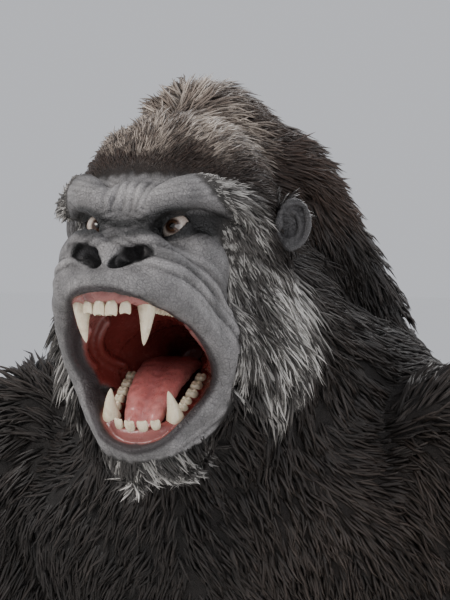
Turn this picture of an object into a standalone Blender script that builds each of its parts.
"""Adult male gorilla, life size, standing on knuckles and soles with its mouth wide open.

Metres, +Z up, the animal faces -Y and its left side is +X. The origin is on the floor, under the
middle of its bounding box. Soft forms (muscle, fat and coat) are overlapping ellipsoids and tubes that
are fused with a voxel remesh and smoothed, then parted with thin cuts where a person names the parts.
"""

import math

import bmesh
import bpy
from mathutils import Matrix, Vector

# Driving dimensions
CUT = 0.0005  # width of the thin cuts between parts
FLOOR_SINK = 0.004  # how far hands and feet are pressed flat
HEAD_AT = Vector((0.0, -0.43, 1.10))  # midpoint between the ear canals
HEAD_PITCH = math.radians(8)  # muzzle raised
HEAD_SCALE = 1.06  # the head's own sizes below are those of a middling male
JAW_OPENING = math.radians(39.5)
JAW_HINGE = Vector((0.0, -0.015, 0.0))  # jaw joint, in the head's frame
EYE_RADIUS = 0.0158
EYE_AT = Vector((0.041, -0.118, 0.030))  # left eye, in the head's frame

# Left limb joints; the right ones are mirrored and stepped by STRIDE
SHOULDER = Vector((0.245, -0.205, 0.865))
ELBOW = Vector((0.318, -0.155, 0.500))
WRIST = Vector((0.275, -0.235, 0.170))
HIP = Vector((0.130, 0.370, 0.635))
KNEE = Vector((0.245, 0.215, 0.350))
ANKLE = Vector((0.205, 0.365, 0.095))
STRIDE = {"left": (0.0, 0.0), "right": (-0.075, 0.055)}  # (hand, foot) shift along Y
SIDES = {"left": 1.0, "right": -1.0}

TRUNK = (  # y, z of the section's middle, half width, half height
    (0.450, 0.655, 0.130, 0.105),
    (0.370, 0.655, 0.202, 0.176),
    (0.250, 0.655, 0.236, 0.222),
    (0.080, 0.690, 0.266, 0.262),
    (-0.080, 0.765, 0.270, 0.262),
    (-0.200, 0.825, 0.245, 0.225),
    (-0.300, 0.855, 0.190, 0.165),
)

SCALES = {  # voxel size, smoothing steps, triangle budget
    "body": (0.014, 6, 1500),
    "head": (0.0048, 4, 1820),
    "hand": (0.0044, 3, 400),
    "foot": (0.0052, 3, 330),
}

HEAD = (
    Matrix.Translation(HEAD_AT)
    @ Matrix.Rotation(-HEAD_PITCH, 4, "X")
    @ Matrix.Diagonal((HEAD_SCALE, HEAD_SCALE, HEAD_SCALE, 1.0))
)
WORLD = Matrix.Identity(4)


def opened(share):
    """The head's frame, swung about the jaw joint by a share of the jaw's opening."""
    return (
        HEAD
        @ Matrix.Translation(JAW_HINGE)
        @ Matrix.Rotation(share * JAW_OPENING, 4, "X")
        @ Matrix.Translation(-JAW_HINGE)
    )


JAW = opened(1.0)
JAW_UNDER_LIP = Matrix.Translation(JAW.to_3x3() @ Vector((0, 0.010, -0.017)))


def clear_scene():
    for old in list(bpy.data.objects):
        bpy.data.objects.remove(old, do_unlink=True)


def make_material(name, colour, roughness):
    material = bpy.data.materials.new(name)
    material.use_nodes = True
    shader = material.node_tree.nodes["Principled BSDF"]
    shader.inputs["Base Color"].default_value = (*colour, 1.0)
    shader.inputs["Roughness"].default_value = roughness
    shader.inputs["Metallic"].default_value = 0.0
    return material


# Form builders: each adds one closed form to a bmesh


def add_ellipsoid(bm, place, centre, radii, tilt=0.0, yaw=0.0, roll=0.0):
    """An ellipsoid in the frame of place; tilt, yaw and roll turn it about its X, Z and Y, in degrees."""
    turn = (
        Matrix.Rotation(math.radians(yaw), 4, "Z")
        @ Matrix.Rotation(math.radians(roll), 4, "Y")
        @ Matrix.Rotation(math.radians(tilt), 4, "X")
    )
    matrix = place @ Matrix.Translation(centre) @ turn @ Matrix.Diagonal((*radii, 1.0))
    bmesh.ops.create_icosphere(bm, subdivisions=3, radius=1.0, matrix=matrix)


def add_pair(bm, place, centre, radii, tilt=0.0, yaw=0.0, roll=0.0):
    """The same ellipsoid on the left and, mirrored, on the right."""
    x, y, z = centre
    add_ellipsoid(bm, place, (x, y, z), radii, tilt, yaw, roll)
    add_ellipsoid(bm, place, (-x, y, z), radii, tilt, -yaw, -roll)


def spline_point(points, t):
    """A point on the Catmull-Rom curve through points; t runs from 0 to len(points) - 1."""
    last = len(points) - 1
    i = min(int(t), last - 1)
    a, b = points[i], points[i + 1]
    before = points[i - 1] if i > 0 else a + (a - b)
    after = points[i + 2] if i + 2 <= last else b + (b - a)
    u = t - i
    return 0.5 * (
        2 * a
        + (b - before) * u
        + (2 * before - 5 * a + 4 * b - after) * u**2
        + (3 * (a - b) + after - before) * u**3
    )


def add_tube(bm, place, stations, sides=20, steps=4, round_ends=True):
    """A tube through stations of (point, half width, half height), with rounded or flat ends."""
    path = [Vector(s[0]) for s in stations]
    sizes = [Vector((s[1], s[-1], 0.0)) for s in stations]
    count = (len(path) - 1) * steps
    rings = []
    for k in range(count + 1):
        t = k / steps
        rings.append((spline_point(path, t), spline_point(sizes, t)))
    if round_ends:
        for end, nxt in ((0, 1), (-1, -2)):
            centre, size = rings[end]
            outward = (centre - rings[nxt][0]).normalized()
            cap = []
            for angle in (30, 58, 80):
                reach = math.sin(math.radians(angle)) * min(size.x, size.y)
                cap.append((centre + outward * reach, size * math.cos(math.radians(angle))))
            rings = cap[::-1] + rings if end == 0 else rings + cap
    made = []
    across = None
    for k, (centre, size) in enumerate(rings):
        ahead = rings[min(k + 1, len(rings) - 1)][0] - rings[max(k - 1, 0)][0]
        along = ahead.normalized()
        if across is None:  # half width lies along X, or along Y where the tube itself runs along X
            across = Vector((1, 0, 0)) if abs(along.x) < 0.8 else Vector((0, 1, 0))
        across = (across - along * across.dot(along)).normalized()
        up = along.cross(across)
        ring = []
        for s in range(sides):
            a = 2 * math.pi * s / sides
            point = centre + across * (math.cos(a) * size.x) + up * (math.sin(a) * size.y)
            ring.append(bm.verts.new(place @ point))
        made.append(ring)
    for low, high in zip(made, made[1:]):
        for s in range(sides):
            t = (s + 1) % sides
            bm.faces.new((low[s], low[t], high[t], high[s]))
    bm.faces.new(list(reversed(made[0])))
    bm.faces.new(made[-1])


def add_tube_pair(bm, place, stations, **settings):
    add_tube(bm, place, stations, **settings)
    mirrored = [((-s[0][0], s[0][1], s[0][2]), *s[1:]) for s in stations]
    add_tube(bm, place, mirrored, **settings)


# Objects, modifiers and cuts


def object_from(bm, name, collection):
    bmesh.ops.recalc_face_normals(bm, faces=bm.faces[:])
    mesh = bpy.data.meshes.new(name)
    bm.to_mesh(mesh)
    bm.free()
    obj = bpy.data.objects.new(name, mesh)
    collection.objects.link(obj)
    return obj


def apply_modifiers(obj):
    graph = bpy.context.evaluated_depsgraph_get()
    mesh = bpy.data.meshes.new_from_object(obj.evaluated_get(graph))
    obj.modifiers.clear()
    obj.data = mesh
    return obj


def fuse(obj, scale):
    """One smooth skin round the overlapping forms of obj, brought down to its triangle budget."""
    voxel, steps, budget = SCALES[scale]
    remesh = obj.modifiers.new("fuse", "REMESH")
    remesh.mode = "VOXEL"
    remesh.voxel_size = voxel
    smooth = obj.modifiers.new("smooth", "SMOOTH")
    smooth.factor = 0.5
    smooth.iterations = steps
    apply_modifiers(obj)
    thin = obj.modifiers.new("thin", "DECIMATE")
    triangles = sum(len(p.vertices) - 2 for p in obj.data.polygons)
    thin.ratio = min(1.0, budget / triangles)
    thin.use_collapse_triangulate = True
    return apply_modifiers(obj)


def boolean(obj, other, operation):
    cut = obj.modifiers.new(operation.lower(), "BOOLEAN")
    cut.operation = operation
    cut.solver = "EXACT"
    cut.object = other
    return apply_modifiers(obj)


def copy_of(obj, name, collection):
    twin = obj.copy()
    twin.data = obj.data.copy()
    twin.name = name
    collection.objects.link(twin)
    return twin


def block_beyond(point, normal, gap, collection, reach=2.0):
    """A box cutter that fills the side of a plane that its normal points to, starting gap beyond it."""
    bm = bmesh.new()
    turn = Vector(normal).to_track_quat("Z", "X").to_matrix().to_4x4()
    place = Matrix.Translation(point) @ turn @ Matrix.Translation((0, 0, gap + reach / 2))
    bmesh.ops.create_cube(bm, size=reach, matrix=place)
    return object_from(bm, "cutter", collection)


def keep_side(obj, point, normal, collection, reach=2.0):
    """Cuts away what lies beyond the plane, and half a cut's width more."""
    cutter = block_beyond(point, normal, -CUT / 2, collection, reach)
    boolean(obj, cutter, "DIFFERENCE")
    bpy.data.objects.remove(cutter)
    return obj


def islands(obj, names, collection):
    """Parts obj into its loose pieces, each named for the nearest of names, and removes obj."""
    bm = bmesh.new()
    bm.from_mesh(obj.data)
    material = obj.data.materials[0] if obj.data.materials else None
    todo, pieces = set(bm.verts), []
    while todo:
        edge, piece = [todo.pop()], set()
        while edge:
            vert = edge.pop()
            piece.add(vert)
            for link in vert.link_edges:
                other = link.other_vert(vert)
                if other in todo:
                    todo.remove(other)
                    edge.append(other)
        pieces.append(piece)
    pieces.sort(key=len, reverse=True)
    made = {}
    for piece in pieces[: len(names)]:
        centre = sum((v.co for v in piece), Vector()) / len(piece)
        name = min(names, key=lambda n: (Vector(names[n]) - centre).length)
        part = bmesh.new()
        twin = {v: part.verts.new(v.co) for v in piece}
        for face in bm.faces:
            if face.verts[0] in piece:
                part.faces.new([twin[v] for v in face.verts])
        made[name] = object_from(part, name, collection)
        if material:
            made[name].data.materials.append(material)
    bm.free()
    bpy.data.objects.remove(obj)
    return made


# The animal's forms


def limb_joints(side):
    """Joint places of one side, with the hand and foot shifted by the stride."""
    sign = SIDES[side]
    hand, foot = STRIDE[side]
    shifts = {
        "shoulder": (SHOULDER, 0.25 * hand),
        "elbow": (ELBOW, 0.6 * hand),
        "wrist": (WRIST, hand),
        "hip": (HIP, 0.15 * foot),
        "knee": (KNEE, 0.7 * foot),
        "ankle": (ANKLE, foot),
    }
    return {
        name: Vector((sign * at.x, at.y + shift, at.z)) for name, (at, shift) in shifts.items()
    }


def add_arm(bm, joints):
    shoulder, elbow, wrist = (joints[n] for n in ("shoulder", "elbow", "wrist"))
    upper = shoulder.lerp(elbow, 0.45)
    lower = elbow.lerp(wrist, 0.40) + Vector((0.0, 0.012, 0.0))
    hair = Vector((0.0, 0.022, 0.0))  # long hair hangs behind the elbow
    add_tube(
        bm,
        WORLD,
        (
            (shoulder, 0.108, 0.120),
            (upper, 0.092, 0.104),
            (elbow + hair, 0.080, 0.094),
            (lower + hair, 0.086, 0.100),
            (elbow.lerp(wrist, 0.75) + hair * 0.8, 0.066, 0.080),
            (wrist, 0.049, 0.052),
            (wrist - Vector((0, 0.004, 0.060)), 0.050, 0.040),
        ),
    )
    sign = 1.0 if shoulder.x > 0 else -1.0
    deltoid = shoulder + Vector((sign * 0.018, -0.005, -0.015))
    add_ellipsoid(bm, WORLD, deltoid, (0.098, 0.125, 0.140), roll=-10 * sign)


def add_leg(bm, joints):
    hip, knee, ankle = (joints[n] for n in ("hip", "knee", "ankle"))
    calf = knee.lerp(ankle, 0.38) + Vector((0.0, 0.014, 0.0))
    add_tube(
        bm,
        WORLD,
        (
            (hip, 0.135, 0.160),
            (hip.lerp(knee, 0.55), 0.116, 0.134),
            (knee, 0.080, 0.090),
            (calf, 0.074, 0.086),
            (knee.lerp(ankle, 0.75), 0.056, 0.064),
            (ankle, 0.047, 0.052),
            (ankle - Vector((0, 0, 0.05)), 0.045, 0.052),
        ),
    )


def add_trunk(bm):
    add_tube(bm, WORLD, [((0, y, z), w, h) for y, z, w, h in TRUNK], sides=28)
    add_pair(bm, WORLD, (0.120, -0.075, 0.925), (0.125, 0.240, 0.095), tilt=-24, yaw=-8)  # shoulder blades
    add_pair(bm, WORLD, (0.110, -0.300, 0.800), (0.135, 0.105, 0.130))  # breast muscles
    add_pair(bm, WORLD, (0.105, 0.375, 0.655), (0.115, 0.130, 0.140))  # buttocks
    add_ellipsoid(bm, WORLD, (0, 0.090, 0.590), (0.240, 0.275, 0.188))  # belly


def add_neck(bm):
    add_tube(
        bm,
        WORLD,
        (
            (HEAD @ Vector((0, -0.005, 0.000)), 0.110, 0.118),
            (HEAD @ Vector((0, 0.060, -0.020)), 0.142, 0.145),
            ((0, -0.320, 1.000), 0.172, 0.165),
            ((0, -0.220, 0.915), 0.205, 0.190),
        ),
        sides=24,
    )
    add_tube(  # the mane from crest to shoulder hump
        bm,
        WORLD,
        (
            (HEAD @ Vector((0, 0.082, 0.104)), 0.112, 0.108),
            ((0, -0.285, 1.190), 0.142, 0.110),
            ((0, -0.235, 1.138), 0.164, 0.110),
            ((0, -0.130, 1.060), 0.184, 0.102),
            ((0, 0.000, 0.965), 0.172, 0.084),
        ),
    )


def add_skull(bm):
    add_ellipsoid(bm, HEAD, (0, -0.015, 0.055), (0.096, 0.122, 0.088))  # braincase and coat
    add_ellipsoid(bm, HEAD, (0, 0.062, 0.122), (0.071, 0.120, 0.099), tilt=1)  # crest
    add_ellipsoid(bm, HEAD, (0, -0.048, 0.100), (0.066, 0.078, 0.056), tilt=32)  # forehead
    add_pair(bm, HEAD, (0.052, -0.014, 0.066), (0.054, 0.086, 0.086), yaw=6, roll=-16)  # temples
    add_tube_pair(  # the brow ridge, drawn down to the nose in a frown
        bm,
        HEAD,
        (
            ((0.087, -0.080, 0.058), 0.015, 0.017),
            ((0.064, -0.115, 0.068), 0.018, 0.019),
            ((0.043, -0.136, 0.058), 0.018, 0.019),
            ((0.021, -0.146, 0.039), 0.0145, 0.0155),
            ((0.0155, -0.146, 0.026), 0.0098, 0.0105),
        ),
        sides=14,
    )
    add_ellipsoid(bm, HEAD, (0, -0.126, 0.055), (0.032, 0.020, 0.022))  # between the brows
    add_pair(bm, HEAD, (0.060, -0.100, -0.002), (0.030, 0.036, 0.028), tilt=-20)  # cheekbones
    add_ellipsoid(bm, HEAD, (0, -0.113, 0.000), (0.052, 0.052, 0.058))  # midface
    add_tube(  # bridge of the nose
        bm,
        HEAD,
        (((0, -0.122, 0.050), 0.013, 0.018), ((0, -0.160, 0.008), 0.017, 0.017)),
    )
    add_pair(bm, HEAD, (0.029, -0.168, -0.009), (0.027, 0.020, 0.019), yaw=-26)  # nostril wings
    add_ellipsoid(bm, HEAD, (0, -0.178, -0.012), (0.017, 0.018, 0.017))  # tip of the nose
    add_ellipsoid(bm, HEAD, (0, -0.142, -0.026), (0.062, 0.064, 0.034), tilt=6)  # muzzle
    add_pair(bm, HEAD, (0.047, -0.142, -0.023), (0.025, 0.044, 0.032), tilt=12)  # canine roots
    add_pair(bm, HEAD, (0.056, -0.094, -0.034), (0.028, 0.056, 0.036), tilt=12)  # sides of the muzzle


def lip_ring():
    """Half of the lips' ring, from the middle of the upper lip round the corner to the lower lip."""
    ring = (  # x, y, z with the mouth shut, share of the opening, radius
        (0.000, -0.204, -0.038, 0.00, 0.0110),
        (0.031, -0.194, -0.038, 0.00, 0.0115),
        (0.057, -0.163, -0.043, 0.02, 0.0118),
        (0.075, -0.128, -0.054, 0.14, 0.0118),
        (0.084, -0.104, -0.075, 0.50, 0.0120),
        (0.074, -0.126, -0.083, 0.86, 0.0120),
        (0.053, -0.160, -0.087, 0.98, 0.0120),
        (0.027, -0.188, -0.089, 1.00, 0.0115),
        (0.000, -0.196, -0.089, 1.00, 0.0110),
    )
    return [(opened(share) @ Vector((x, y, z)), r * HEAD_SCALE) for x, y, z, share, r in ring]


def add_mouth(bm):
    """Lips, and the cheeks that are stretched between the jaws."""
    for sign in SIDES.values():
        half = [(Vector((sign * at.x, at.y, at.z)), r, r) for at, r in lip_ring()]
        add_tube(bm, WORLD, half, sides=12, steps=3)
    for share in (0.15, 0.4, 0.65, 0.9):
        add_pair(bm, opened(share), (0.062, -0.066, -0.066), (0.032, 0.052, 0.030))
    add_tube_pair(  # the ruff of hair from the temple down to the throat
        bm,
        HEAD,
        (
            ((0.066, -0.006, 0.050), 0.042, 0.052),
            ((0.080, 0.002, -0.030), 0.051, 0.060),
            ((0.085, 0.010, -0.095), 0.061, 0.066),
            ((0.064, 0.014, -0.162), 0.056, 0.058),
        ),
        sides=16,
    )


def add_jaw(bm):
    add_ellipsoid(bm, JAW, (0, -0.168, -0.114), (0.040, 0.036, 0.034))  # chin
    under_lip = [(JAW_UNDER_LIP @ at, 0.017, 0.017) for at, _r in lip_ring()[5:]]
    for sign in SIDES.values():
        half = [(Vector((sign * at.x, at.y, at.z)), w, h) for at, w, h in under_lip]
        add_tube(bm, WORLD, half, sides=12, steps=2)
    add_tube_pair(  # both halves of the jawbone, from the angle to the chin
        bm,
        JAW,
        (
            ((0.060, -0.030, -0.060), 0.034, 0.036),
            ((0.056, -0.060, -0.102), 0.030, 0.032),
            ((0.043, -0.125, -0.112), 0.024, 0.028),
            ((0.022, -0.168, -0.110), 0.024, 0.028),
        ),
        sides=14,
    )
    add_ellipsoid(bm, JAW, (0, -0.090, -0.120), (0.060, 0.080, 0.026))  # floor of the mouth
    add_ellipsoid(bm, JAW, (0, -0.055, -0.138), (0.070, 0.075, 0.036), tilt=-24)  # throat hair


def mouth_cutter(collection):
    """The hollow of the mouth: what the closed mouth holds, swept through the jaw's opening."""
    bm = bmesh.new()
    steps = 5
    for k in range(steps):
        share = k / (steps - 1)
        bulge = math.sin(math.pi * share)
        radii = (0.044 + 0.028 * bulge, 0.098 - 0.006 * bulge, 0.022 + 0.008 * bulge)
        middle = (0, -0.131 - 0.006 * bulge, -0.078 + 0.019 * (1 - share) ** 1.5)
        add_ellipsoid(bm, opened(share), middle, radii)
    obj = object_from(bm, "cutter_mouth", collection)
    remesh = obj.modifiers.new("fuse", "REMESH")
    remesh.mode = "VOXEL"
    remesh.voxel_size = 0.006
    smooth = obj.modifiers.new("smooth", "SMOOTH")
    smooth.iterations = 6
    thin = obj.modifiers.new("thin", "DECIMATE")
    thin.ratio = 0.055
    return apply_modifiers(obj)


ARCH = (  # x and y of the teeth from the midline back, width, length, depth, sharpness
    (0.0066, -0.1885, 0.0126, 0.0165, 0.0080, 0.1),
    (0.0192, -0.1845, 0.0114, 0.0150, 0.0080, 0.2),
    (0.0352, -0.1690, 0.0190, 0.0415, 0.0185, 1.0),
    (0.0370, -0.1525, 0.0120, 0.0090, 0.0120, 0.3),
    (0.0378, -0.1395, 0.0120, 0.0085, 0.0130, 0.3),
    (0.0384, -0.1260, 0.0125, 0.0080, 0.0140, 0.2),
    (0.0388, -0.1110, 0.0125, 0.0080, 0.0145, 0.2),
    (0.0388, -0.0960, 0.0120, 0.0075, 0.0140, 0.2),
)


def add_gum(bm, place, level, thick):
    """The ridge of gum that carries one jaw's teeth."""
    half = [((x, y, level), thick, thick * 1.5) for x, y, *_size in ARCH]
    other = [((-x, y, level), a, b) for (x, y, _z), a, b in half]
    add_tube(bm, place, other[::-1] + half, sides=6, steps=1)


def add_tooth(bm, place, base, size, sharp):
    """One tooth; base is on the gum, size is width, length and depth, and sharp is 1 for a canine."""
    width, length, depth = size
    sides = 6 if sharp == 1.0 else 4
    rows = ((-0.4, 0.85), (0.05, 1.0), (0.5, 1.0 - 0.3 * sharp), (1.0, 1.0 - 0.93 * sharp))
    if sharp < 1.0:
        rows = ((-0.6, 0.9), (1.0, 1.0 - sharp))
    rings = []
    for along, scale in rows:
        ring = []
        for k in range(sides):
            a = 2 * math.pi * (k + 0.5) / sides
            wide = math.sqrt(2) if sides == 4 else 1.0
            across = Vector((math.cos(a) * width, math.sin(a) * depth, 0)) * scale * wide / 2
            bend = Vector((0, 0.14 * abs(length) * sharp * along**2, along * length))
            ring.append(bm.verts.new(place @ (Vector(base) + across + bend)))
        rings.append(ring)
    for low, high in zip(rings, rings[1:]):
        for k in range(sides):
            j = (k + 1) % sides
            bm.faces.new((low[k], low[j], high[j], high[k]))
    bm.faces.new(rings[0][::-1])
    bm.faces.new(rings[-1])


def make_teeth(place, gum_level, direction, scale, collection):
    """All the teeth of one jaw on their gum, as one body."""
    gum = bmesh.new()
    add_gum(gum, place, gum_level - direction * 0.008, 0.0080)
    row = object_from(gum, "gum", collection)
    for x, y, width, length, depth, sharp in ARCH:
        for sign in SIDES.values():
            bm = bmesh.new()
            size = (width * scale, direction * length * scale, depth * scale)
            add_tooth(bm, place, (sign * x, y, gum_level), size, sharp)
            tooth = object_from(bm, "tooth", collection)
            boolean(row, tooth, "UNION")
            bpy.data.objects.remove(tooth)
    return row


# Hands, feet and ears


def add_hand(bm, joints, side):
    """A hand on its knuckles: upright palm, fingers out to the front and folded back under."""
    sign = SIDES[side]
    wrist = joints["wrist"]
    place = Matrix.Translation((wrist.x, wrist.y, 0.0)) @ Matrix.Rotation(sign * 0.16, 4, "Z")
    add_tube(bm, WORLD, ((wrist + Vector((0, 0, 0.06)), 0.046, 0.050), (wrist, 0.046, 0.049),
                         (wrist - Vector((0, 0.004, 0.06)), 0.050, 0.034)))
    add_ellipsoid(bm, place, (0, -0.006, 0.105), (0.060, 0.031, 0.062))
    for k in range(4):
        x = (k - 1.5) * 0.0290
        knuckle = -0.060 + 0.006 * abs(k - 1.4)
        finger = (
            ((x * 0.92, -0.012, 0.082), 0.0155, 0.0175),
            ((x, knuckle + 0.006, 0.028), 0.0150, 0.0175),
            ((x, knuckle + 0.030, 0.0135), 0.0145, 0.0150),
            ((x, knuckle + 0.062, 0.0160), 0.0140, 0.0140),
            ((x * 0.95, knuckle + 0.074, 0.040), 0.0125, 0.0125),
        )
        add_tube(bm, place, finger, sides=12, steps=3)
    add_tube(
        bm,
        place,
        (
            ((-sign * 0.040, 0.008, 0.135), 0.017, 0.017),
            ((-sign * 0.060, 0.000, 0.100), 0.014, 0.014),
            ((-sign * 0.058, -0.010, 0.062), 0.0115, 0.0115),
        ),
        sides=12,
        steps=3,
    )


def add_foot(bm, joints, side):
    """A flat foot with its big toe set off to the inner side."""
    sign = SIDES[side]
    ankle = joints["ankle"]
    place = Matrix.Translation((ankle.x, ankle.y, 0.0)) @ Matrix.Rotation(-sign * -0.26, 4, "Z")
    add_tube(bm, WORLD, ((ankle + Vector((0, 0, 0.06)), 0.050, 0.056), (ankle, 0.047, 0.052),
                         (ankle - Vector((0, 0, 0.05)), 0.042, 0.050)))
    add_ellipsoid(bm, place, (0, 0.030, 0.034), (0.036, 0.046, 0.038))
    add_tube(
        bm,
        place,
        (
            ((0, 0.020, 0.040), 0.034, 0.038),
            ((0.000, -0.060, 0.032), 0.044, 0.036),
            ((sign * 0.004, -0.120, 0.022), 0.048, 0.026),
        ),
    )
    for k in range(4):
        x = sign * (0.040 - 0.024 * k)
        tip = -0.188 - 0.007 * min(k, 2)
        toe = (
            ((x * 0.85, -0.115, 0.022), 0.0135, 0.0170),
            ((x, (tip - 0.115) / 2, 0.020), 0.0125, 0.0150),
            ((x * 1.05, tip, 0.0105), 0.0115, 0.0115),
        )
        add_tube(bm, place, toe, sides=12, steps=3)
    add_tube(
        bm,
        place,
        (
            ((-sign * 0.022, -0.030, 0.028), 0.024, 0.026),
            ((-sign * 0.056, -0.092, 0.020), 0.019, 0.020),
            ((-sign * 0.074, -0.138, 0.0155), 0.0175, 0.0165),
        ),
        sides=12,
        steps=3,
    )


def make_ear(side, head, collection, material):
    """A small cupped ear, set on the side of the head."""
    sign = SIDES[side]
    bm = bmesh.new()
    at = Vector((sign * 0.1210, 0.0040, 0.0500))
    yaw = math.radians(-sign * 38)
    place = HEAD @ Matrix.Translation(at) @ Matrix.Rotation(yaw, 4, "Z")
    add_ellipsoid(bm, place, (0, 0, 0), (0.0100, 0.0215, 0.0275), tilt=-12)
    ear = object_from(bm, side + "_ear", collection)
    bm = bmesh.new()
    add_ellipsoid(bm, place, (sign * 0.0115, -0.003, 0.001), (0.0090, 0.0150, 0.0205), tilt=-12)
    hollow = object_from(bm, "cutter", collection)
    for obj, ratio in ((ear, 0.16), (hollow, 0.10)):
        thin = obj.modifiers.new("thin", "DECIMATE")
        thin.ratio = ratio
        apply_modifiers(obj)
    boolean(ear, hollow, "DIFFERENCE")
    boolean(ear, head, "DIFFERENCE")
    bpy.data.objects.remove(hollow)
    ear.location.x += sign * 2 * CUT
    ear.data.materials.clear()
    ear.data.materials.append(material)
    return ear


def eye_sphere(side, radius, name, collection):
    bm = bmesh.new()
    at = HEAD @ Vector((SIDES[side] * EYE_AT.x, EYE_AT.y, EYE_AT.z))
    place = Matrix.Translation(at) @ Matrix.Rotation(math.pi / 2, 4, "X")
    bmesh.ops.create_uvsphere(bm, u_segments=11, v_segments=7, radius=radius, matrix=place)
    return object_from(bm, name, collection)


def make_tongue(growth, name, collection):
    """The tongue, arched up out of the floor of the mouth with its tip drawn in behind the teeth."""
    bm = bmesh.new()
    stations = (
        ((0, -0.060, -0.090), 0.030, 0.012),
        ((0, -0.095, -0.079), 0.029, 0.012),
        ((0, -0.130, -0.079), 0.026, 0.010),
        ((0, -0.164, -0.086), 0.018, 0.007),
    )
    grown = [(point, w + growth, h + growth) for point, w, h in stations]
    add_tube(bm, JAW, grown, sides=8, steps=1)
    return object_from(bm, name, collection)


# Assembly


def build_head(parts, helpers, materials):
    bm = bmesh.new()
    add_skull(bm)
    add_mouth(bm)
    add_jaw(bm)
    add_neck(bm)
    head = fuse(object_from(bm, "head", parts), "head")
    mouth = mouth_cutter(helpers)
    boolean(head, mouth, "DIFFERENCE")
    bpy.data.objects.remove(mouth)

    for side, sign in SIDES.items():  # eye sockets, then the pocket each eye sits in
        bm = bmesh.new()
        add_ellipsoid(
            bm, HEAD, (sign * 0.043, -0.138, 0.027), (0.0215, 0.0175, 0.0135), roll=-sign * 16
        )
        socket = object_from(bm, "cutter", helpers)
        thin = socket.modifiers.new("thin", "DECIMATE")
        thin.ratio = 0.12
        apply_modifiers(socket)
        boolean(head, socket, "DIFFERENCE")
        bpy.data.objects.remove(socket)
        pocket = eye_sphere(side, EYE_RADIUS + CUT, "cutter", helpers)
        boolean(head, pocket, "DIFFERENCE")
        bpy.data.objects.remove(pocket)
        eye = eye_sphere(side, EYE_RADIUS, side + "_eye", parts)
        eye.data.materials.append(materials["eye"])

    for sign in SIDES.values():  # nostrils, slanting up and out
        bm = bmesh.new()
        nostril = Matrix.Translation((sign * 0.0200, -0.1840, -0.0080))
        turn = Matrix.Rotation(math.radians(-sign * 24), 4, "Y")
        size = Matrix.Diagonal((0.0125, 0.0130, 0.0062, 1.0))
        place = HEAD @ nostril @ turn @ size
        bmesh.ops.create_icosphere(bm, subdivisions=1, radius=1.0, matrix=place)
        pit = object_from(bm, "cutter", helpers)
        boolean(head, pit, "DIFFERENCE")
        bpy.data.objects.remove(pit)

    tongue = make_tongue(0.0, "tongue", parts)
    pocket = make_tongue(CUT, "cutter", helpers)
    boolean(head, pocket, "DIFFERENCE")
    bpy.data.objects.remove(pocket)
    tongue.data.materials.append(materials["tongue"])

    behind = HEAD @ Vector((0, 0.070, -0.050))
    backward = (HEAD.to_3x3() @ Vector((0, 0.963, -0.269))).normalized()
    keep_side(head, behind, backward, helpers)

    corner = HEAD @ Vector((0, -0.094, -0.102))
    downward = (HEAD.to_3x3() @ Vector((0, -0.200, -0.980))).normalized()
    jaw = copy_of(head, "jaw", parts)
    keep_side(head, corner, downward, helpers)

    for obj, place, gum, direction, scale in (
        (head, HEAD, -0.0500, -1.0, 1.0),
        (jaw, JAW @ Matrix.Translation((0, 0.004, 0)), -0.0880, 1.0, 0.92),
    ):
        teeth = make_teeth(place, gum, direction, scale, helpers)
        boolean(obj, teeth, "UNION")
        bpy.data.objects.remove(teeth)
        obj.data.materials.clear()
        obj.data.materials.append(materials["skin"])
    keep_side(jaw, corner, -downward, helpers)

    for side in SIDES:
        make_ear(side, head, parts, materials["skin"])
    return head, behind, backward


def build_body(parts, helpers, materials, behind, backward):
    bm = bmesh.new()
    add_trunk(bm)
    add_neck(bm)
    joints = {side: limb_joints(side) for side in SIDES}
    for side in SIDES:
        add_arm(bm, joints[side])
        add_leg(bm, joints[side])
    body = fuse(object_from(bm, "body", parts), "body")
    body.data.materials.clear()
    body.data.materials.append(materials["coat"])
    keep_side(body, behind, -backward, helpers)

    for side in SIDES:
        j = joints[side]
        for end, radius in ((j["wrist"], 0.14), (j["ankle"], 0.13)):
            box = bmesh.new()
            place = Matrix.Translation((end.x, end.y, end.z - radius + CUT / 2))
            bmesh.ops.create_cube(box, size=2 * radius, matrix=place)
            cutter = object_from(box, "cutter", helpers)
            boolean(body, cutter, "DIFFERENCE")
            bpy.data.objects.remove(cutter)
        for name, top, low, radii in (
            ("upper_arm", "shoulder", "elbow", (0.132, 0.150)),
            ("thigh", "hip", "knee", (0.140, 0.165)),
        ):
            sign = SIDES[side]
            out = Vector((sign * 0.030, 0, 0))
            start, end = j[top] + out, j[low] + out * 0.5
            stations = [(start, *radii), (end, *radii)]
            for grown, part_name in ((0.0, side + "_" + name), (CUT, None)):
                region = bmesh.new()
                sized = [(p, w + grown, h + grown) for p, w, h in stations]
                sized[-1] = (end + (end - start).normalized() * grown, *sized[-1][1:])
                add_tube(region, WORLD, with_dome(sized), sides=10, steps=1, round_ends=False)
                cutter = object_from(region, "cutter", helpers)
                if part_name:
                    limb = copy_of(body, part_name, parts)
                    boolean(limb, cutter, "INTERSECT")
                else:
                    boolean(body, cutter, "DIFFERENCE")
                bpy.data.objects.remove(cutter)

    base = Vector((0, -0.305, 0.975))
    along = Vector((0, -0.66, 0.75)).normalized()
    neck = copy_of(body, "neck", parts)
    keep_side(neck, base, -along, helpers)
    keep_side(body, base, along, helpers)
    names = {"trunk": (0, 0.05, 0.75)}
    for side in SIDES:
        j = joints[side]
        names[side + "_forearm"] = j["elbow"].lerp(j["wrist"], 0.5)
        names[side + "_shin"] = j["knee"].lerp(j["ankle"], 0.5)
    islands(body, names, parts)
    return joints


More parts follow.
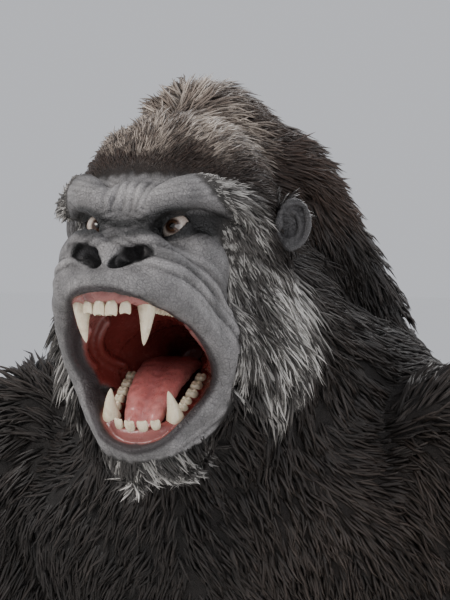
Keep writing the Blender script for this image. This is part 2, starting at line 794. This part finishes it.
def with_dome(stations):
    """Stations of a straight tube whose first end is a dome and whose second end is flat."""
    (start, width, height), (end, *_rest) = stations
    back = (start - end).normalized()
    dome = []
    for angle in (65, 35):
        reach = math.sin(math.radians(angle)) * min(width, height)
        size = math.cos(math.radians(angle))
        dome.append((start + back * reach, width * size, height * size))
    return dome + [stations[0], stations[1]]


def build_ends(parts, helpers, materials, joints):
    """Hands and feet, cut flat on the floor and parted at the wrists and ankles."""
    for side in SIDES:
        for kind, adder, top in (("hand", add_hand, "wrist"), ("foot", add_foot, "ankle")):
            bm = bmesh.new()
            adder(bm, joints[side], side)
            obj = fuse(object_from(bm, side + "_" + kind, parts), kind)
            keep_side(obj, joints[side][top], (0, 0, 1), helpers)
            floor = Vector((0, 0, FLOOR_SINK + CUT / 2))
            keep_side(obj, floor, (0, 0, -1), helpers)
            obj.data.materials.clear()
            obj.data.materials.append(materials["bare"])


def stand_on_origin(parts):
    """Moves everything so that the middle of the bounding box is over the origin, on the floor."""
    bpy.context.view_layer.update()
    corners = [o.matrix_world @ v.co for o in parts.objects for v in o.data.vertices]
    low = Vector(min(c[k] for c in corners) for k in range(3))
    high = Vector(max(c[k] for c in corners) for k in range(3))
    shift = Vector((-(low.x + high.x) / 2, -(low.y + high.y) / 2, -low.z))
    for obj in parts.objects:
        obj.location += shift


def main():
    clear_scene()
    parts = bpy.data.collections.new("gorilla")
    helpers = bpy.data.collections.new("cutters")
    for collection in (parts, helpers):
        bpy.context.scene.collection.children.link(collection)
    materials = {
        "skin": make_material("face_skin", (0.055, 0.050, 0.050), 0.50),
        "coat": make_material("coat", (0.025, 0.023, 0.022), 0.75),
        "bare": make_material("hand_skin", (0.040, 0.036, 0.035), 0.60),
        "eye": make_material("eye", (0.060, 0.025, 0.012), 0.08),
        "tongue": make_material("tongue", (0.420, 0.160, 0.150), 0.40),
    }
    _head, behind, backward = build_head(parts, helpers, materials)
    joints = build_body(parts, helpers, materials, behind, backward)
    build_ends(parts, helpers, materials, joints)
    stand_on_origin(parts)
    for obj in parts.objects:
        obj.data.shade_smooth()
        obj.data.set_sharp_from_angle(angle=math.radians(40))


main()
